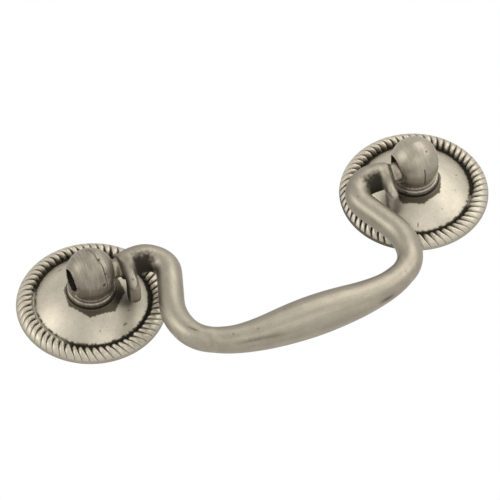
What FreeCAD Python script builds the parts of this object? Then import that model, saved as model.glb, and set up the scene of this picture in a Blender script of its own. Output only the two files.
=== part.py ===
"""Bail pull: two domed rosettes with rope edges, two ball-headed posts and a swan-neck bail.

Millimetres, +Z up.  The drawer face is the plane Y = 0 and the pull stands out towards -Y.
The origin is midway between the two screw axes, on the drawer face.
"""
import FreeCAD, Part
import Sketcher
import math
import os

Vector = FreeCAD.Vector
Rotation = FreeCAD.Rotation
Placement = FreeCAD.Placement
X_AXIS = Vector(1, 0, 0)
Z_AXIS = Vector(0, 0, 1)

doc = FreeCAD.newDocument("BailPull")

# Driving dimensions: name, millimetres or degrees or a count, what it is
DIMENSIONS = [
    ("screw_spacing", 76.2, "centre to centre of the two screws, the 3 inch standard"),
    ("rosette_radius", 16.3, "outside radius of a rosette"),
    ("lip_height", 0.9, "height of the rosette's plain outer edge"),
    ("lip_chamfer", 0.3, "bevel on that edge"),
    ("bed_outer", 15.2, "outer radius of the raised bed under the rope edge"),
    ("bed_inner", 13.6, "inner radius of that bed"),
    ("bed_height", 1.55, "height of the bed"),
    ("groove_outer", 12.75, "outer radius of the groove between bed and dome"),
    ("groove_height", 0.95, "height of the groove's floor"),
    ("dome_edge", 12.2, "radius where the dome starts"),
    ("dome_radius", 19.0, "radius of the dome's curve"),
    ("seat_radius", 5.45, "radius of the flat that the collar sits on"),
    ("seat_height", 4.9, "height of that flat above the drawer face"),
    ("dome_wall", 1.4, "wall of the hollow dome"),
    ("strand_count", 60, "strands of the rope edge"),
    ("strand_ring", 14.5, "radius of the circle through the middles of the strands"),
    ("strand_foot", 0.9, "height of a strand's foot, inside the bed"),
    ("strand_crest", 2.25, "height of a strand's crest"),
    ("strand_length", 3.7, "length of a strand at its foot, tip to tip"),
    ("strand_width", 2.2, "width of a strand at its foot"),
    ("strand_flank", 28.0, "lean of a strand's flanks"),
    ("strand_slant", 24.0, "angle of a strand from the radius"),
    ("shank_radius", 3.9, "part of the post inside the rosette"),
    ("shank_clearance", 0.15, "gap round the shank in the rosette"),
    ("shank_recess", 0.3, "how far the shank stops short of the drawer face"),
    ("thread_core", 1.73, "core radius of the tapped hole for a number 8-32 screw"),
    ("thread_depth", 5.6, "full depth of the tapped hole"),
    ("drill_point", 0.9, "depth of the drill point beyond it"),
    ("collar_radius", 5.2, "collar of the post"),
    ("collar_height", 1.55, "thickness of the collar"),
    ("collar_undercut", 0.4, "bevel under the collar"),
    ("collar_bevel", 0.2, "bevel on top of the collar"),
    ("neck_radius", 4.3, "neck between collar and head"),
    ("head_radius", 5.3, "radius of the ball head"),
    ("head_centre", 10.6, "height of the middle of the head"),
    ("head_band", 0.8, "straight band between the two half balls of the head"),
    ("bore_radius", 2.95, "cross bore in the head"),
    ("bore_height", 10.5, "height of the bore axis above the drawer face"),
    ("pin_radius", 2.05, "pin at each end of the bail"),
    ("pin_clearance", 0.05, "gap under the pin where it lies in the bore"),
    ("pin_length", 7.2, "length of a pin from the shoulder"),
    ("pin_bevel", 0.4, "bevel on the end of a pin"),
    ("shoulder_gap", 1.0, "gap between a head and the bail's shoulder"),
    ("rest_lift", 4.4, "how far the hanging bail leans out from the drawer"),
    ("grip_radius", 4.45, "radius of the grip at its middle"),
    ("rod_radius", 2.85, "radius of the rod in the legs and arches"),
    ("crown_radius", 3.15, "radius of the rod at the crown of the arch"),
    ("crown_rise", 0.35, "height of the crown's middle above the pin axis"),
    ("root_radius", 2.8, "radius of the rod at the shoulder"),
    ("root_drop", 0.1, "middle of the rod at the shoulder, below the pin axis"),
    ("grip_straight", 8.5, "half the straight length in the middle of the grip"),
    ("grip_bend", 45.0, "first bend radius of the grip"),
    ("grip_turn", 8.8, "its turn"),
    ("heel_bend", 18.0, "second bend radius, towards the corner"),
    ("heel_turn", 26.0, "its turn"),
    ("corner_bend", 7.7, "corner bend radius"),
    ("corner_turn", 38.2, "its turn"),
    ("calf_bend", 14.2, "bend radius from corner to leg"),
    ("calf_turn", 36.8, "its turn"),
    ("leg_straight", 8.4, "straight part of the leg"),
    ("arch_bend", 4.86, "bend radius of the arch"),
    ("arch_turn", 50.0, "turn of the arch at the plain rod"),
    ("lug_width", 2.8, "thickness of the hook end and its stop lug"),
    ("lug_back", 2.6, "distance of the lug's upper side below the pin axis"),
    ("lug_depth", 3.2, "lug from its upper to its lower side"),
    ("nose_lean", 45.0, "angle round the pin axis at which the nose leaves the rod's front"),
    ("nose_sink", 0.1, "how deep the nose starts inside the rod"),
    ("nose_back", 1.3, "lower edge of the nose, in from the pin axis"),
    ("lug_reach", 7.0, "tip of the lug, in from the pin axis"),
    ("lug_rounding", 1.2, "rounding of the lug's long edges"),
    ("nose_rounding", 0.7, "rounding of the nose's two sides"),
]


def make_sheet():
    """Spreadsheet with one aliased number per driving dimension."""
    sheet = doc.addObject("Spreadsheet::Sheet", "Dims")
    for row, (name, value, note) in enumerate(DIMENSIONS, start=1):
        sheet.set(f"A{row}", name)
        sheet.set(f"B{row}", str(value))
        sheet.set(f"C{row}", note)
        sheet.setAlias(f"B{row}", name)
    doc.recompute()
    return sheet


SHEET = make_sheet()


def size(name):
    """Value of a driving dimension, read from the sheet."""
    return float(SHEET.get(name))


def bind(target, prop, formula):
    """Tie a property or a named constraint to the sheet."""
    target.setExpression(prop, formula)


def origin_plane(body, role):
    """One of the body's own origin planes."""
    return next(item for item in body.Origin.OriginFeatures if item.Role == role)


def new_body(name):
    return doc.addObject("PartDesign::Body", name)


def new_sketch(body, name, role):
    sketch = body.newObject("Sketcher::SketchObject", name)
    sketch.AttachmentSupport = (origin_plane(body, role), [""])
    sketch.MapMode = "FlatFace"
    return sketch


class Outline:
    """Closed sketch outline whose corners are tied to the sheet by formulas."""

    def __init__(self, sketch):
        self.sketch = sketch
        self.corners = []
        self.bends = []

    def corner(self, across, up, bend=None):
        """A corner at two formulas; bend is (centre across, centre up, sense) of the arc after it."""
        self.corners.append((across, up))
        self.bends.append(bend)

    def value(self, formula):
        return float(self.sketch.evalExpression(formula))

    def point(self, pair):
        return Vector(self.value(pair[0]), self.value(pair[1]), 0)

    def edge(self, start, end, bend):
        if bend is None:
            return Part.LineSegment(start, end)
        centre = self.point(bend[:2])
        first = math.atan2(start.y - centre.y, start.x - centre.x)
        last = math.atan2(end.y - centre.y, end.x - centre.x)
        circle = Part.Circle(centre, Z_AXIS, (start - centre).Length)
        if bend[2] == "left":
            return Part.ArcOfCircle(circle, first, last)
        return Part.ArcOfCircle(circle, last, first)

    def fix(self, geometry, vertex, pair, label):
        """Tie one point to its two formulas, measured from the sketch's origin."""
        for axis, formula in zip("XY", pair):
            number = self.sketch.addConstraint(
                Sketcher.Constraint(f"Distance{axis}", -1, 1, geometry, vertex, self.value(formula)))
            name = f"{label}_{axis.lower()}"
            self.sketch.renameConstraint(number, name)
            bind(self.sketch, f"Constraints.{name}", formula)

    def build(self):
        count = len(self.corners)
        starts = []
        ends = []
        for index in range(count):
            here = self.point(self.corners[index])
            there = self.point(self.corners[(index + 1) % count])
            bend = self.bends[index]
            geometry = self.sketch.addGeometry(self.edge(here, there, bend), False)
            turned = bend is not None and bend[2] == "right"
            starts.append((geometry, 2 if turned else 1))
            ends.append((geometry, 1 if turned else 2))
        for index in range(count):
            joint = ends[index] + starts[(index + 1) % count]
            self.sketch.addConstraint(Sketcher.Constraint("Coincident", *joint))
            self.fix(*starts[index], self.corners[index], f"corner_{index}")
        for index, bend in enumerate(self.bends):
            if bend is not None:
                self.fix_centre(starts[index][0], bend)

    def fix_centre(self, geometry, bend):
        """Tie an arc by the one coordinate of its centre that the end points leave free."""
        axis, formula = ("X", bend[0]) if bend[3] == "across" else ("Y", bend[1])
        number = self.sketch.addConstraint(
            Sketcher.Constraint(f"Distance{axis}", -1, 1, geometry, 3, self.value(formula)))
        name = f"centre_{geometry}_{axis.lower()}"
        self.sketch.renameConstraint(number, name)
        bind(self.sketch, f"Constraints.{name}", formula)


def revolve(body, sketch, name):
    """Full turn of a sketch about its own vertical axis."""
    feature = body.newObject("PartDesign::Revolution", name)
    feature.Profile = sketch
    feature.ReferenceAxis = (sketch, ["V_Axis"])
    feature.Angle = 360.0
    return feature


# Height of the dome's centre, from the edge of its seat
DOME_CENTRE = "(Dims.seat_height - sqrt(Dims.dome_radius ^ 2 - Dims.seat_radius ^ 2))"
DOME_FOOT = f"({DOME_CENTRE} + sqrt(Dims.dome_radius ^ 2 - Dims.dome_edge ^ 2))"
HOLLOW_RADIUS = "(Dims.dome_radius - Dims.dome_wall)"
HOLLOW_EDGE = f"sqrt({HOLLOW_RADIUS} ^ 2 - {DOME_CENTRE} ^ 2)"
HOLE_RADIUS = "(Dims.shank_radius + Dims.shank_clearance)"
HOLLOW_TOP = f"({DOME_CENTRE} + sqrt({HOLLOW_RADIUS} ^ 2 - {HOLE_RADIUS} ^ 2))"


def make_rosette(name, side):
    """Hollow dome with a plain lip and a rope edge, turned about the screw axis."""
    body = new_body(name)
    section = new_sketch(body, f"{name}_section", "XZ_Plane")
    outline = Outline(section)
    outline.corner(HOLLOW_EDGE, "0 * Dims.lip_height")
    outline.corner("Dims.rosette_radius", "0 * Dims.lip_height")
    outline.corner("Dims.rosette_radius", "Dims.lip_height")
    outline.corner("Dims.rosette_radius - Dims.lip_chamfer", "Dims.lip_height + Dims.lip_chamfer")
    outline.corner("Dims.bed_outer", "Dims.bed_height")
    outline.corner("Dims.bed_inner", "Dims.bed_height")
    outline.corner("Dims.groove_outer", "Dims.groove_height")
    outline.corner("Dims.dome_edge", "Dims.groove_height")
    outline.corner("Dims.dome_edge", DOME_FOOT, ("0 * Dims.dome_edge", DOME_CENTRE, "left", "up"))
    outline.corner("Dims.seat_radius", "Dims.seat_height")
    outline.corner(HOLE_RADIUS, "Dims.seat_height")
    outline.corner(HOLE_RADIUS, HOLLOW_TOP, ("0 * Dims.dome_edge", DOME_CENTRE, "right", "up"))
    outline.build()
    revolve(body, section, f"{name}_disc")
    doc.recompute()
    add_rope(body, name)
    place_on_screw(body, side)
    return body


def add_rope(body, name):
    """One pointed strand with leaning flanks, set at a slant and repeated round the rim."""
    half = "(Dims.strand_length / 2)"
    crown = "(Dims.strand_width / 2)"
    drop = f"(({half} ^ 2 - {crown} ^ 2) / (2 * {crown}))"
    level = "0 * Dims.strand_width"
    plan = new_sketch(body, f"{name}_strand_plan", "XY_Plane")
    plan.AttachmentOffset = Placement(Vector(size("strand_ring"), 0, size("strand_foot")),
                                      Rotation(Z_AXIS, size("strand_slant")))
    bind(plan, "AttachmentOffset.Base.x", "Dims.strand_ring")
    bind(plan, "AttachmentOffset.Base.z", "Dims.strand_foot")
    bind(plan, "AttachmentOffset.Rotation.Angle", "Dims.strand_slant * 1 deg")
    outline = Outline(plan)
    outline.corner(f"-{half}", level, (level, drop, "left", "up"))
    outline.corner(half, level, (level, f"-{drop}", "left", "up"))
    outline.build()
    strand = body.newObject("PartDesign::Pad", f"{name}_strand")
    strand.Profile = plan
    bind(strand, "Length", "Dims.strand_crest - Dims.strand_foot")
    bind(strand, "TaperAngle", "-Dims.strand_flank")
    doc.recompute()
    rope = body.newObject("PartDesign::PolarPattern", f"{name}_rope")
    rope.Originals = [strand]
    rope.Axis = (origin_plane(body, "Z_Axis"), [""])
    rope.Angle = 360
    bind(rope, "Occurrences", "Dims.strand_count")
    body.Tip = rope


def place_on_screw(body, side):
    """Turn a piece built along +Z to face -Y and set it on its screw axis."""
    body.Placement = Placement(Vector(side * size("screw_spacing") / 2, 0, 0), Rotation(X_AXIS, 90))
    bind(body, "Placement.Base.x", f"{side} * Dims.screw_spacing / 2")


# Heights on the post, from the drawer face
COLLAR_TOP = "(Dims.seat_height + Dims.collar_height)"
HEAD_LOW = "(Dims.head_centre - Dims.head_band / 2)"
HEAD_HIGH = "(Dims.head_centre + Dims.head_band / 2)"
NECK_TOP = f"({HEAD_LOW} - sqrt(Dims.head_radius ^ 2 - Dims.neck_radius ^ 2))"
THREAD_END = "(Dims.shank_recess + Dims.thread_depth)"


def make_post(name, side):
    """Turned post: tapped shank, collar, neck and ball head with a cross bore."""
    body = new_body(name)
    section = new_sketch(body, f"{name}_section", "XZ_Plane")
    outline = Outline(section)
    outline.corner("0 * Dims.thread_core", f"{THREAD_END} + Dims.drill_point")
    outline.corner("Dims.thread_core", THREAD_END)
    outline.corner("Dims.thread_core", "Dims.shank_recess")
    outline.corner("Dims.shank_radius", "Dims.shank_recess")
    outline.corner("Dims.shank_radius", "Dims.seat_height")
    outline.corner("Dims.collar_radius - Dims.collar_undercut", "Dims.seat_height")
    outline.corner("Dims.collar_radius", "Dims.seat_height + Dims.collar_undercut")
    outline.corner("Dims.collar_radius", f"{COLLAR_TOP} - Dims.collar_bevel")
    outline.corner("Dims.collar_radius - Dims.collar_bevel", COLLAR_TOP)
    outline.corner("Dims.neck_radius", COLLAR_TOP)
    outline.corner("Dims.neck_radius", NECK_TOP, ("0 * Dims.neck_radius", HEAD_LOW, "left", "up"))
    outline.corner("Dims.head_radius", HEAD_LOW)
    outline.corner("Dims.head_radius", HEAD_HIGH, ("0 * Dims.neck_radius", HEAD_HIGH, "left", "across"))
    outline.corner("0 * Dims.head_radius", f"{HEAD_HIGH} + Dims.head_radius")
    outline.build()
    revolve(body, section, f"{name}_turning")
    doc.recompute()
    cross = new_sketch(body, f"{name}_bore_circle", "YZ_Plane")
    circle = cross.addGeometry(Part.Circle(Vector(0, size("bore_height"), 0), Z_AXIS,
                                           size("bore_radius")), False)
    cross.addConstraint(Sketcher.Constraint("PointOnObject", circle, 3, -2))
    height = cross.addConstraint(
        Sketcher.Constraint("DistanceY", -1, 1, circle, 3, size("bore_height")))
    bind(cross, f"Constraints[{height}]", "Dims.bore_height")
    radius = cross.addConstraint(Sketcher.Constraint("Radius", circle, size("bore_radius")))
    bind(cross, f"Constraints[{radius}]", "Dims.bore_radius")
    bore = body.newObject("PartDesign::Pocket", f"{name}_bore")
    bore.Profile = cross
    bore.Midplane = True
    bind(bore, "Length", "Dims.head_radius * 4")
    body.Tip = bore
    place_on_screw(body, side)
    return body


# The bail is built flat: X along the pull, Y up, Z out, with the pin axis as its X axis
SHOULDER = "(Dims.screw_spacing / 2 - Dims.head_radius - Dims.shoulder_gap)"
# Rings of a loft along one piece of the centreline
GRIP_STEPS = 3
ROOT_STEPS = 4
# Largest share of the hook end's width or depth that the rounding of one edge takes
WALL_SHARE = 0.45


def shoulder_place():
    return size("screw_spacing") / 2 - size("head_radius") - size("shoulder_gap")


class Centreline:
    """Right half of the bail's centreline, a chain of tangent runs and bends from the middle."""

    def __init__(self):
        self.spots = [(Vector(0, 0, 0), 0.0)]
        self.pieces = []

    def run(self, length):
        self.add(length, 0.0)

    def bend(self, radius, turn):
        """Bend by an angle in degrees, positive to the left."""
        self.add(radius * math.radians(abs(turn)), math.radians(turn))

    def add(self, length, turn):
        self.pieces.append((length, turn))
        self.spots.append(self.ahead(len(self.pieces) - 1, 1.0))

    def ahead(self, index, share):
        """Point and heading at a share of one piece."""
        start, heading = self.spots[index]
        length, turn = self.pieces[index]
        length *= share
        turn *= share
        chord = length if turn == 0 else 2 * length / turn * math.sin(turn / 2)
        course = heading + turn / 2
        return start + Vector(math.cos(course), math.sin(course), 0) * chord, heading + turn

    def edge(self, index):
        """Exact edge of one piece."""
        start = self.spots[index][0]
        end = self.spots[index + 1][0]
        if self.pieces[index][1] == 0:
            return Part.LineSegment(start, end).toShape()
        return Part.Arc(start, self.ahead(index, 0.5)[0], end).toShape()


def ring(spot, radius):
    """Circle of a radius square to the centreline at a point and heading."""
    along = Vector(math.cos(spot[1]), math.sin(spot[1]), 0)
    circle = Part.makeCircle(radius)
    circle.Placement = Placement(spot[0], Rotation(Z_AXIS, along.cross(Z_AXIS), along, "ZXY"))
    return Part.Wire([circle])


def ease(share):
    """Smooth step from 0 to 1 with level ends."""
    return (1 - math.cos(math.pi * share)) / 2


def flip(shape):
    """Mirror image in the bail's middle plane."""
    return shape.mirror(Vector(0, 0, 0), X_AXIS)


def make_grip(line, count):
    """Swollen grip over the first pieces of the centreline, both sides of the middle."""
    total = sum(length for length, _ in line.pieces[:count])
    rings = []
    gone = 0.0
    for index in range(count):
        length = line.pieces[index][0]
        for step in range(GRIP_STEPS):
            share = step / GRIP_STEPS
            swell = 1 - ease((gone + length * share) / total)
            radius = size("rod_radius") + (size("grip_radius") - size("rod_radius")) * swell
            rings.append((line.ahead(index, share), radius))
        gone += length
    rings.append((line.spots[count], size("rod_radius")))
    other = [((Vector(-spot[0].x, spot[0].y, 0), -spot[1]), radius) for spot, radius in rings[:0:-1]]
    return Part.makeLoft([ring(spot, radius) for spot, radius in other + rings], True, False)


def make_limb(line, first):
    """Corner, leg and arch: the plain rod swept along the centreline."""
    edges = [line.edge(index) for index in range(first, len(line.pieces))]
    return Part.Wire(edges).makePipeShell([ring(line.spots[first], size("rod_radius"))], True, True)


def make_root(line, last):
    """Crown of the arch, swelling from the plain rod, and its end, tapering down to the shoulder."""
    rings = []
    for step in range(ROOT_STEPS):
        share = step / ROOT_STEPS
        radius = size("rod_radius") + (size("crown_radius") - size("rod_radius")) * ease(share)
        rings.append(ring(line.ahead(last, share), radius))
    start = line.spots[-1][0]
    for step in range(ROOT_STEPS + 1):
        share = step / ROOT_STEPS
        place = Vector(start.x + (shoulder_place() - start.x) * share,
                       start.y - (size("crown_rise") + size("root_drop")) * share ** 2, 0)
        radius = size("crown_radius") + (size("root_radius") - size("crown_radius")) * share ** 2
        rings.append(ring((place, 0.0), radius))
    return Part.makeLoft(rings, True, False)


def make_rod():
    """Swan-neck rod of changing section from shoulder to shoulder."""
    line = Centreline()
    line.run(size("grip_straight"))
    line.bend(size("grip_bend"), size("grip_turn"))
    line.bend(size("heel_bend"), size("heel_turn"))
    grip_pieces = len(line.pieces)
    line.bend(size("corner_bend"), size("corner_turn"))
    line.bend(size("calf_bend"), size("calf_turn"))
    line.run(size("leg_straight"))
    line.bend(size("arch_bend"), -size("arch_turn"))
    limb = make_limb(line, grip_pieces)
    line.bend(size("arch_bend"), -math.degrees(line.spots[-1][1]))
    root = make_root(line, len(line.pieces) - 1)
    solid = make_grip(line, grip_pieces).fuse([limb, root, flip(limb), flip(root)])
    solid.translate(Vector(0, size("crown_rise") - line.spots[-1][0].y, 0))
    rod = doc.addObject("Part::Feature", "bail_rod")
    rod.Shape = solid.removeSplitter()
    return rod


def make_pin(name, side):
    """Pin of the bail, from inside the rod's end into the head's bore."""
    pin = doc.addObject("Part::Cylinder", name)
    root = "Dims.lug_width / 2"
    bind(pin, "Radius", "Dims.pin_radius")
    bind(pin, "Height", f"Dims.pin_length + {root}")
    pin.Placement = Placement(Vector(side * shoulder_place(), 0, 0), Rotation(Vector(0, 1, 0), side * 90))
    bind(pin, "Placement.Base.x", f"{side} * ({SHOULDER} - {root})")
    end = doc.addObject("Part::Chamfer", f"{name}_bevelled")
    end.Base = pin
    doc.recompute()
    bevel = size("pin_bevel")
    tip_edge = max(range(len(pin.Shape.Edges)),
                   key=lambda i: side * pin.Shape.Edges[i].CenterOfMass.x)
    end.Edges = [(tip_edge + 1, bevel, bevel)]
    return end


def make_hook(name, side):
    """Hook end: the rod's front runs down a sloping nose to a lug that reaches in to the dome."""
    body = new_body(name)
    section = new_sketch(body, f"{name}_section", "YZ_Plane")
    low = "-(Dims.lug_back + Dims.lug_depth)"
    half = "(Dims.lug_depth / 2)"
    tip = f"-(Dims.lug_reach - {half})"
    inside = "(Dims.root_radius / 3)"
    start = "(Dims.root_radius - Dims.nose_sink)"
    lean = "(Dims.nose_lean * 1 deg)"
    outline = Outline(section)
    outline.corner(f"0 * {inside}", f"0 * {inside}")
    outline.corner("-Dims.lug_back", f"-{inside}")
    outline.corner("-Dims.lug_back", tip, (f"{low} + {half}", tip, "right", "up"))
    outline.corner(low, tip)
    outline.corner(low, "-Dims.nose_back")
    outline.corner(f"-{start} * sin({lean})", f"{start} * cos({lean})")
    outline.build()
    bar = body.newObject("PartDesign::Pad", f"{name}_bar")
    bar.Profile = section
    bind(bar, "Length", "Dims.lug_width")
    doc.recompute()
    lug = body.newObject("PartDesign::Fillet", f"{name}_lug")
    lug.Base = (bar, side_edges(bar.Shape, False))
    bind(lug, "Radius", rounding_within("lug_rounding"))
    doc.recompute()
    nose = body.newObject("PartDesign::Fillet", f"{name}_nose")
    nose.Base = (lug, side_edges(lug.Shape, True))
    bind(nose, "Radius", rounding_within("nose_rounding"))
    body.Tip = nose
    bind(body, "Placement.Base.x", f"{side} * ({SHOULDER} - Dims.lug_width / 2) - Dims.lug_width / 2")
    return body


def rounding_within(name):
    """Radius formula of a rounding that leaves some of the hook end's flat sides."""
    return f"min(Dims.{name}; {WALL_SHARE} * Dims.lug_width; {WALL_SHARE} * Dims.lug_depth)"


def side_edges(shape, of_nose):
    """Edges along both flat sides of the hook end, outside the rod: the nose's or the lug's."""
    buried = -size("root_radius") / 2
    names = []
    for index, edge in enumerate(shape.Edges, start=1):
        centre = edge.CenterOfMass
        on_side = edge.BoundBox.XLength < 0.01
        if on_side and centre.y < buried and (centre.z > -size("nose_back")) == of_nose:
            names.append(f"Edge{index}")
    return names


def make_bail():
    """One casting: rod, two hook ends with lugs and two pins."""
    pieces = [make_rod()]
    for word, side in (("left", -1), ("right", 1)):
        pieces.append(make_hook(f"hook_{word}", side))
        pieces.append(make_pin(f"pin_{word}", side))
    bail = doc.addObject("Part::MultiFuse", "bail")
    bail.Shapes = pieces
    bail.Placement = Placement(Vector(0, 0, 0), Rotation(X_AXIS, 90 - size("rest_lift")))
    bind(bail, "Placement.Rotation.Angle", "90 deg - Dims.rest_lift * 1 deg")
    bind(bail, "Placement.Base.y", "-Dims.bore_height")
    bind(bail, "Placement.Base.z", "-(Dims.bore_radius - Dims.pin_radius - Dims.pin_clearance)")
    return bail


def check(pieces):
    """Every object computed, every piece one valid solid."""
    for item in doc.Objects:
        if "Invalid" in item.State or "Error" in item.State:
            raise RuntimeError(f"{item.Name} failed: {item.State}")
    for label, item in pieces.items():
        if item.Shape.isNull() or not item.Shape.isValid() or len(item.Shape.Solids) != 1:
            raise RuntimeError(f"{label} is not one valid solid")


def main():
    pieces = {}
    for word, side in (("left", -1), ("right", 1)):
        pieces[f"rosette_{word}"] = make_rosette(f"rosette_{word}", side)
        pieces[f"post_{word}"] = make_post(f"post_{word}", side)
    pieces["bail"] = make_bail()
    doc.recompute()
    check(pieces)
    os.makedirs("parts", exist_ok=True)
    for label, item in pieces.items():
        item.Label = label
        item.Shape.exportStep(f"parts/{label}.step")
        print(label, "volume", round(item.Shape.Volume, 2), "faces", len(item.Shape.Faces))


main()
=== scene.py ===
import bpy
import math
import numpy as np
from mathutils import Matrix, Quaternion, Vector, noise


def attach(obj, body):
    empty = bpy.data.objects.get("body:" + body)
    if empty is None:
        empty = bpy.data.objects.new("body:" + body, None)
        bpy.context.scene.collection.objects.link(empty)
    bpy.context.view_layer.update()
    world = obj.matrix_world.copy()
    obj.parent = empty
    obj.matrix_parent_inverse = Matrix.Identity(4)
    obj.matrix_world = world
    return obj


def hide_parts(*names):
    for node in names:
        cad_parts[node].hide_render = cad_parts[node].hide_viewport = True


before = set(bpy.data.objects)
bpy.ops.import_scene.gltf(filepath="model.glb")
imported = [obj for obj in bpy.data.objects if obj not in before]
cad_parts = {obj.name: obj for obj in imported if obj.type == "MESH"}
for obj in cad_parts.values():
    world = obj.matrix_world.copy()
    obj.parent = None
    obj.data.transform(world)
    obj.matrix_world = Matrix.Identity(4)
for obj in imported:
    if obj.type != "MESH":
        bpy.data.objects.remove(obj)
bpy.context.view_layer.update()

# Lengths are in millimetres up to mesh_of, which makes metres of them.
# n is the height out of the drawer's face, so n = -Y.
MM = 0.001
SCREW_X = 38.1
SIDES = {"left": -1.0, "right": 1.0}

# ---- camera, fitted to points of the rosettes, heads and bail in the photograph ----
CAMERA_AZIMUTH = math.radians(-17.841)
CAMERA_ELEVATION = math.radians(-35.001)
CAMERA_ROLL = math.radians(-29.562)
CAMERA_DISTANCE = 1.1715
CAMERA_TARGET = Vector((-0.00498, -0.01226, -0.00917))
CAMERA_LENS = 395.0
CAMERA_SENSOR = 36.0
CAMERA_CLIP = (0.1, 10.0)

# ---- rosette: radii from the screw axis, heights out of the drawer's face ----
STRANDS = 60
STRAND_COLUMNS = 15
COLUMNS = STRANDS * STRAND_COLUMNS
HOLE_RADIUS = 4.05
SEAT_MIDDLE = 4.7
SEAT_RADIUS = 5.45
SEAT_HEIGHT = 4.9
DOME_SPHERE = 19.0
HOLLOW_SPHERE = 17.6
SPHERE_CENTRE = -13.3015
DOME_RADIUS = 12.2
DOME_RINGS = 32
DOME_EDGE_STEPS = (0.03, 0.07)
HOLLOW_RADIUS = 11.525
HOLLOW_END = 4.15
HOLLOW_RINGS = 14
HOLE_WALL = ((3.9, 0.7), (4.4, 0.8))
ROSETTE_PATINA = {"seat": 0.9, "edge": 0.8, "groove": 1.0, "back": 0.6, "hollow": 0.7}
GROOVE_FLOOR = 0.95
GROOVE_RINGS = (12.45, 12.65)
ROPE_INNER = 12.85
ROPE_OUTER = 16.05
ROPE_RINGS = 26
ROPE_CREST = 2.2
ROPE_CREST_RADIUS = 14.1
ROLL_POWERS = (1.8, 0.6)
RIM_RINGS = (16.12, 16.19, 16.24, 16.27)
RIM_RADIUS = 16.29
RIM_HEIGHT = 0.12
BACK_RINGS = (16.24, 14.0, 11.6)
INNER_SLANT = math.radians(6)
OUTER_SLANT = math.radians(42)
ROPE_KINDS = ("rope", "groove", "rim")

# Strands: where one begins and how long it takes to rise.
ROPE_SEED = {"left": 11, "right": 29}
SHIFT_RANGE = (-0.07, 0.07)
RISE_RANGE = (-0.07, 0.04)
START_RANGE = (-0.1, 0.14)
GAP_RANGE = (0.8, 1.0)
WAVER_RANGE = (-0.05, 0.05)
STRAND_TAPER = 0.75
STRAND_SKEW = 0.12
STRAND_NOSE = 0.85
CLOSED_REACH = 0.65
CLOSED_RISE = 0.3
RISE_LEFT = 0.3
WAVER_RATE = 2.1
# The gaps between strands, from the groove out to the rim. Where the polish missed them they stay deep.
FAR = (13.1, 16.0)
INNER_POWER = 1.7
OUTER_POWER = (3.6, 2.2)
OUTER_DEPTH = (0.4, 0.85)
GAP_START = (0.8, 0.5)
GAP_WIDTH = (0.2, 0.3)
GAP_PATINA = 0.85
FLOOR_DROP = 0.05
DEEP_PATINA = (0.16, 0.5)
NOSE_PATINA = (0.6, 0.2)
RIM_PATINA = (0.08, 0.6)
EDGE_PATINA = (0.3, 0.5)
# Where the strands close up the dark band inside the rope: degrees, half width, share.
CLOSED_BAND = {"left": (183, 46, 1.0), "right": (-39, 9, 0.5)}
CLOSED_FADE = 0.6
CLOSED_CLEAN = 0.7
# Where the polish missed the outer gaps: degrees, half width, share.
DARK_ROPE = {"left": (-20, 30, 0.5), "right": (193, 55, 1.0)}
DARK_FADE = 0.7

# Unevenness of the surfaces: noise per millimetre, then heights.
ROUGH_SCALE = 1.9
FINE_SCALE = 0.35
GROOVE_ROUGH = 0.09
ROPE_ROUGH = 0.03
DOME_FINE = 0.012
RAGGED_WIDTH = 0.35
RAGGED_PATINA = 0.9
DOME_TONE = {"left": 0.1, "right": 0.0}
DOME_CLOUDS = 0.12
RIM_TONE = 0.3
# Corners of the unbuffed patch round each collar: degrees, radius.
PATCH_CORNERS = {
    "left": [(-162, 6.3), (-115, 7.1), (-69, 7.4), (-24, 7.3),
             (21, 7.0), (66, 6.6), (111, 6.3), (155, 5.9)],
    "right": [(-180, 6.9), (-134, 7.1), (-97, 7.0), (-57, 6.65),
              (-16, 5.9), (30, 5.8), (75, 6.0), (125, 6.5)],
}
PATCH_EDGE = 0.08
PATCH_RAGGED = 0.16
BEYOND = 99.0
# Dents and scratches on the dome: x, z, half length, half width, lean.
DOME_MARKS = {
    "left": [(3.7, -9.75, 0.5, 0.16, 0.5), (-3.5, 9.2, 0.5, 0.12, 0.2),
             (5.6, -7.2, 0.14, 0.12, 0.0), (-2.0, -9.6, 0.12, 0.1, 0.0)],
    "right": [(-3.8, -10.2, 0.35, 0.1, 1.0), (7.3, -5.4, 0.12, 0.1, 0.0),
              (2.5, -9.0, 0.12, 0.1, 0.0), (9.4, -1.6, 0.15, 0.12, 0.0)],
}
MARK_DEPTH = 0.06
MARK_PATINA = 0.9

# ---- post: x and z from the screw axis ----
POST_VOXEL = 0.12
POST_SMOOTHING = 6
POST_ROUGH_SCALE = 2.2
POST_SOFT_SCALE = 0.5
BALL_RADIUS = 5.3
BALL_CENTRES = (10.2, 11.0)
BALL_START = 7.2
BORE_CENTRE = 10.5
BORE_RADIUS = 2.95
BORE_EDGE = 0.12
BORE_INSIDE = (5.2, 7.4)
# The ball's parting line on the left, its crack and its raised scar on the right.
SEAM_PLACE = (0.5, 0.17, 2.4)
SEAM_WAVE = (0.14, 1.9, 0.6)
SEAM_ENDS = ((-0.5, 0.6, 8.0), (0.4, -0.6, 2.6))
CRACK_PLACE = 0.05
CRACK_WAVE = (0.02, 3.1)
CRACK_ENDS = ((13.3, 13.0), (7.8, 8.4))
SEAM_RIDGE = (0.0, 0.1, 0.07)
SEAM_VALLEY = (0.26, 0.1, 0.06)
SEAM_DARK = (0.24, 0.11)
CRACK_WIDTH = 0.13
CRACK_DARK = 0.12
CRACK_DEPTH = 0.12
SCAR = ((0.5, 0.6, 16.1), (1.1, 0.3, 0.5), 0.1, 0.08)
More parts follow.
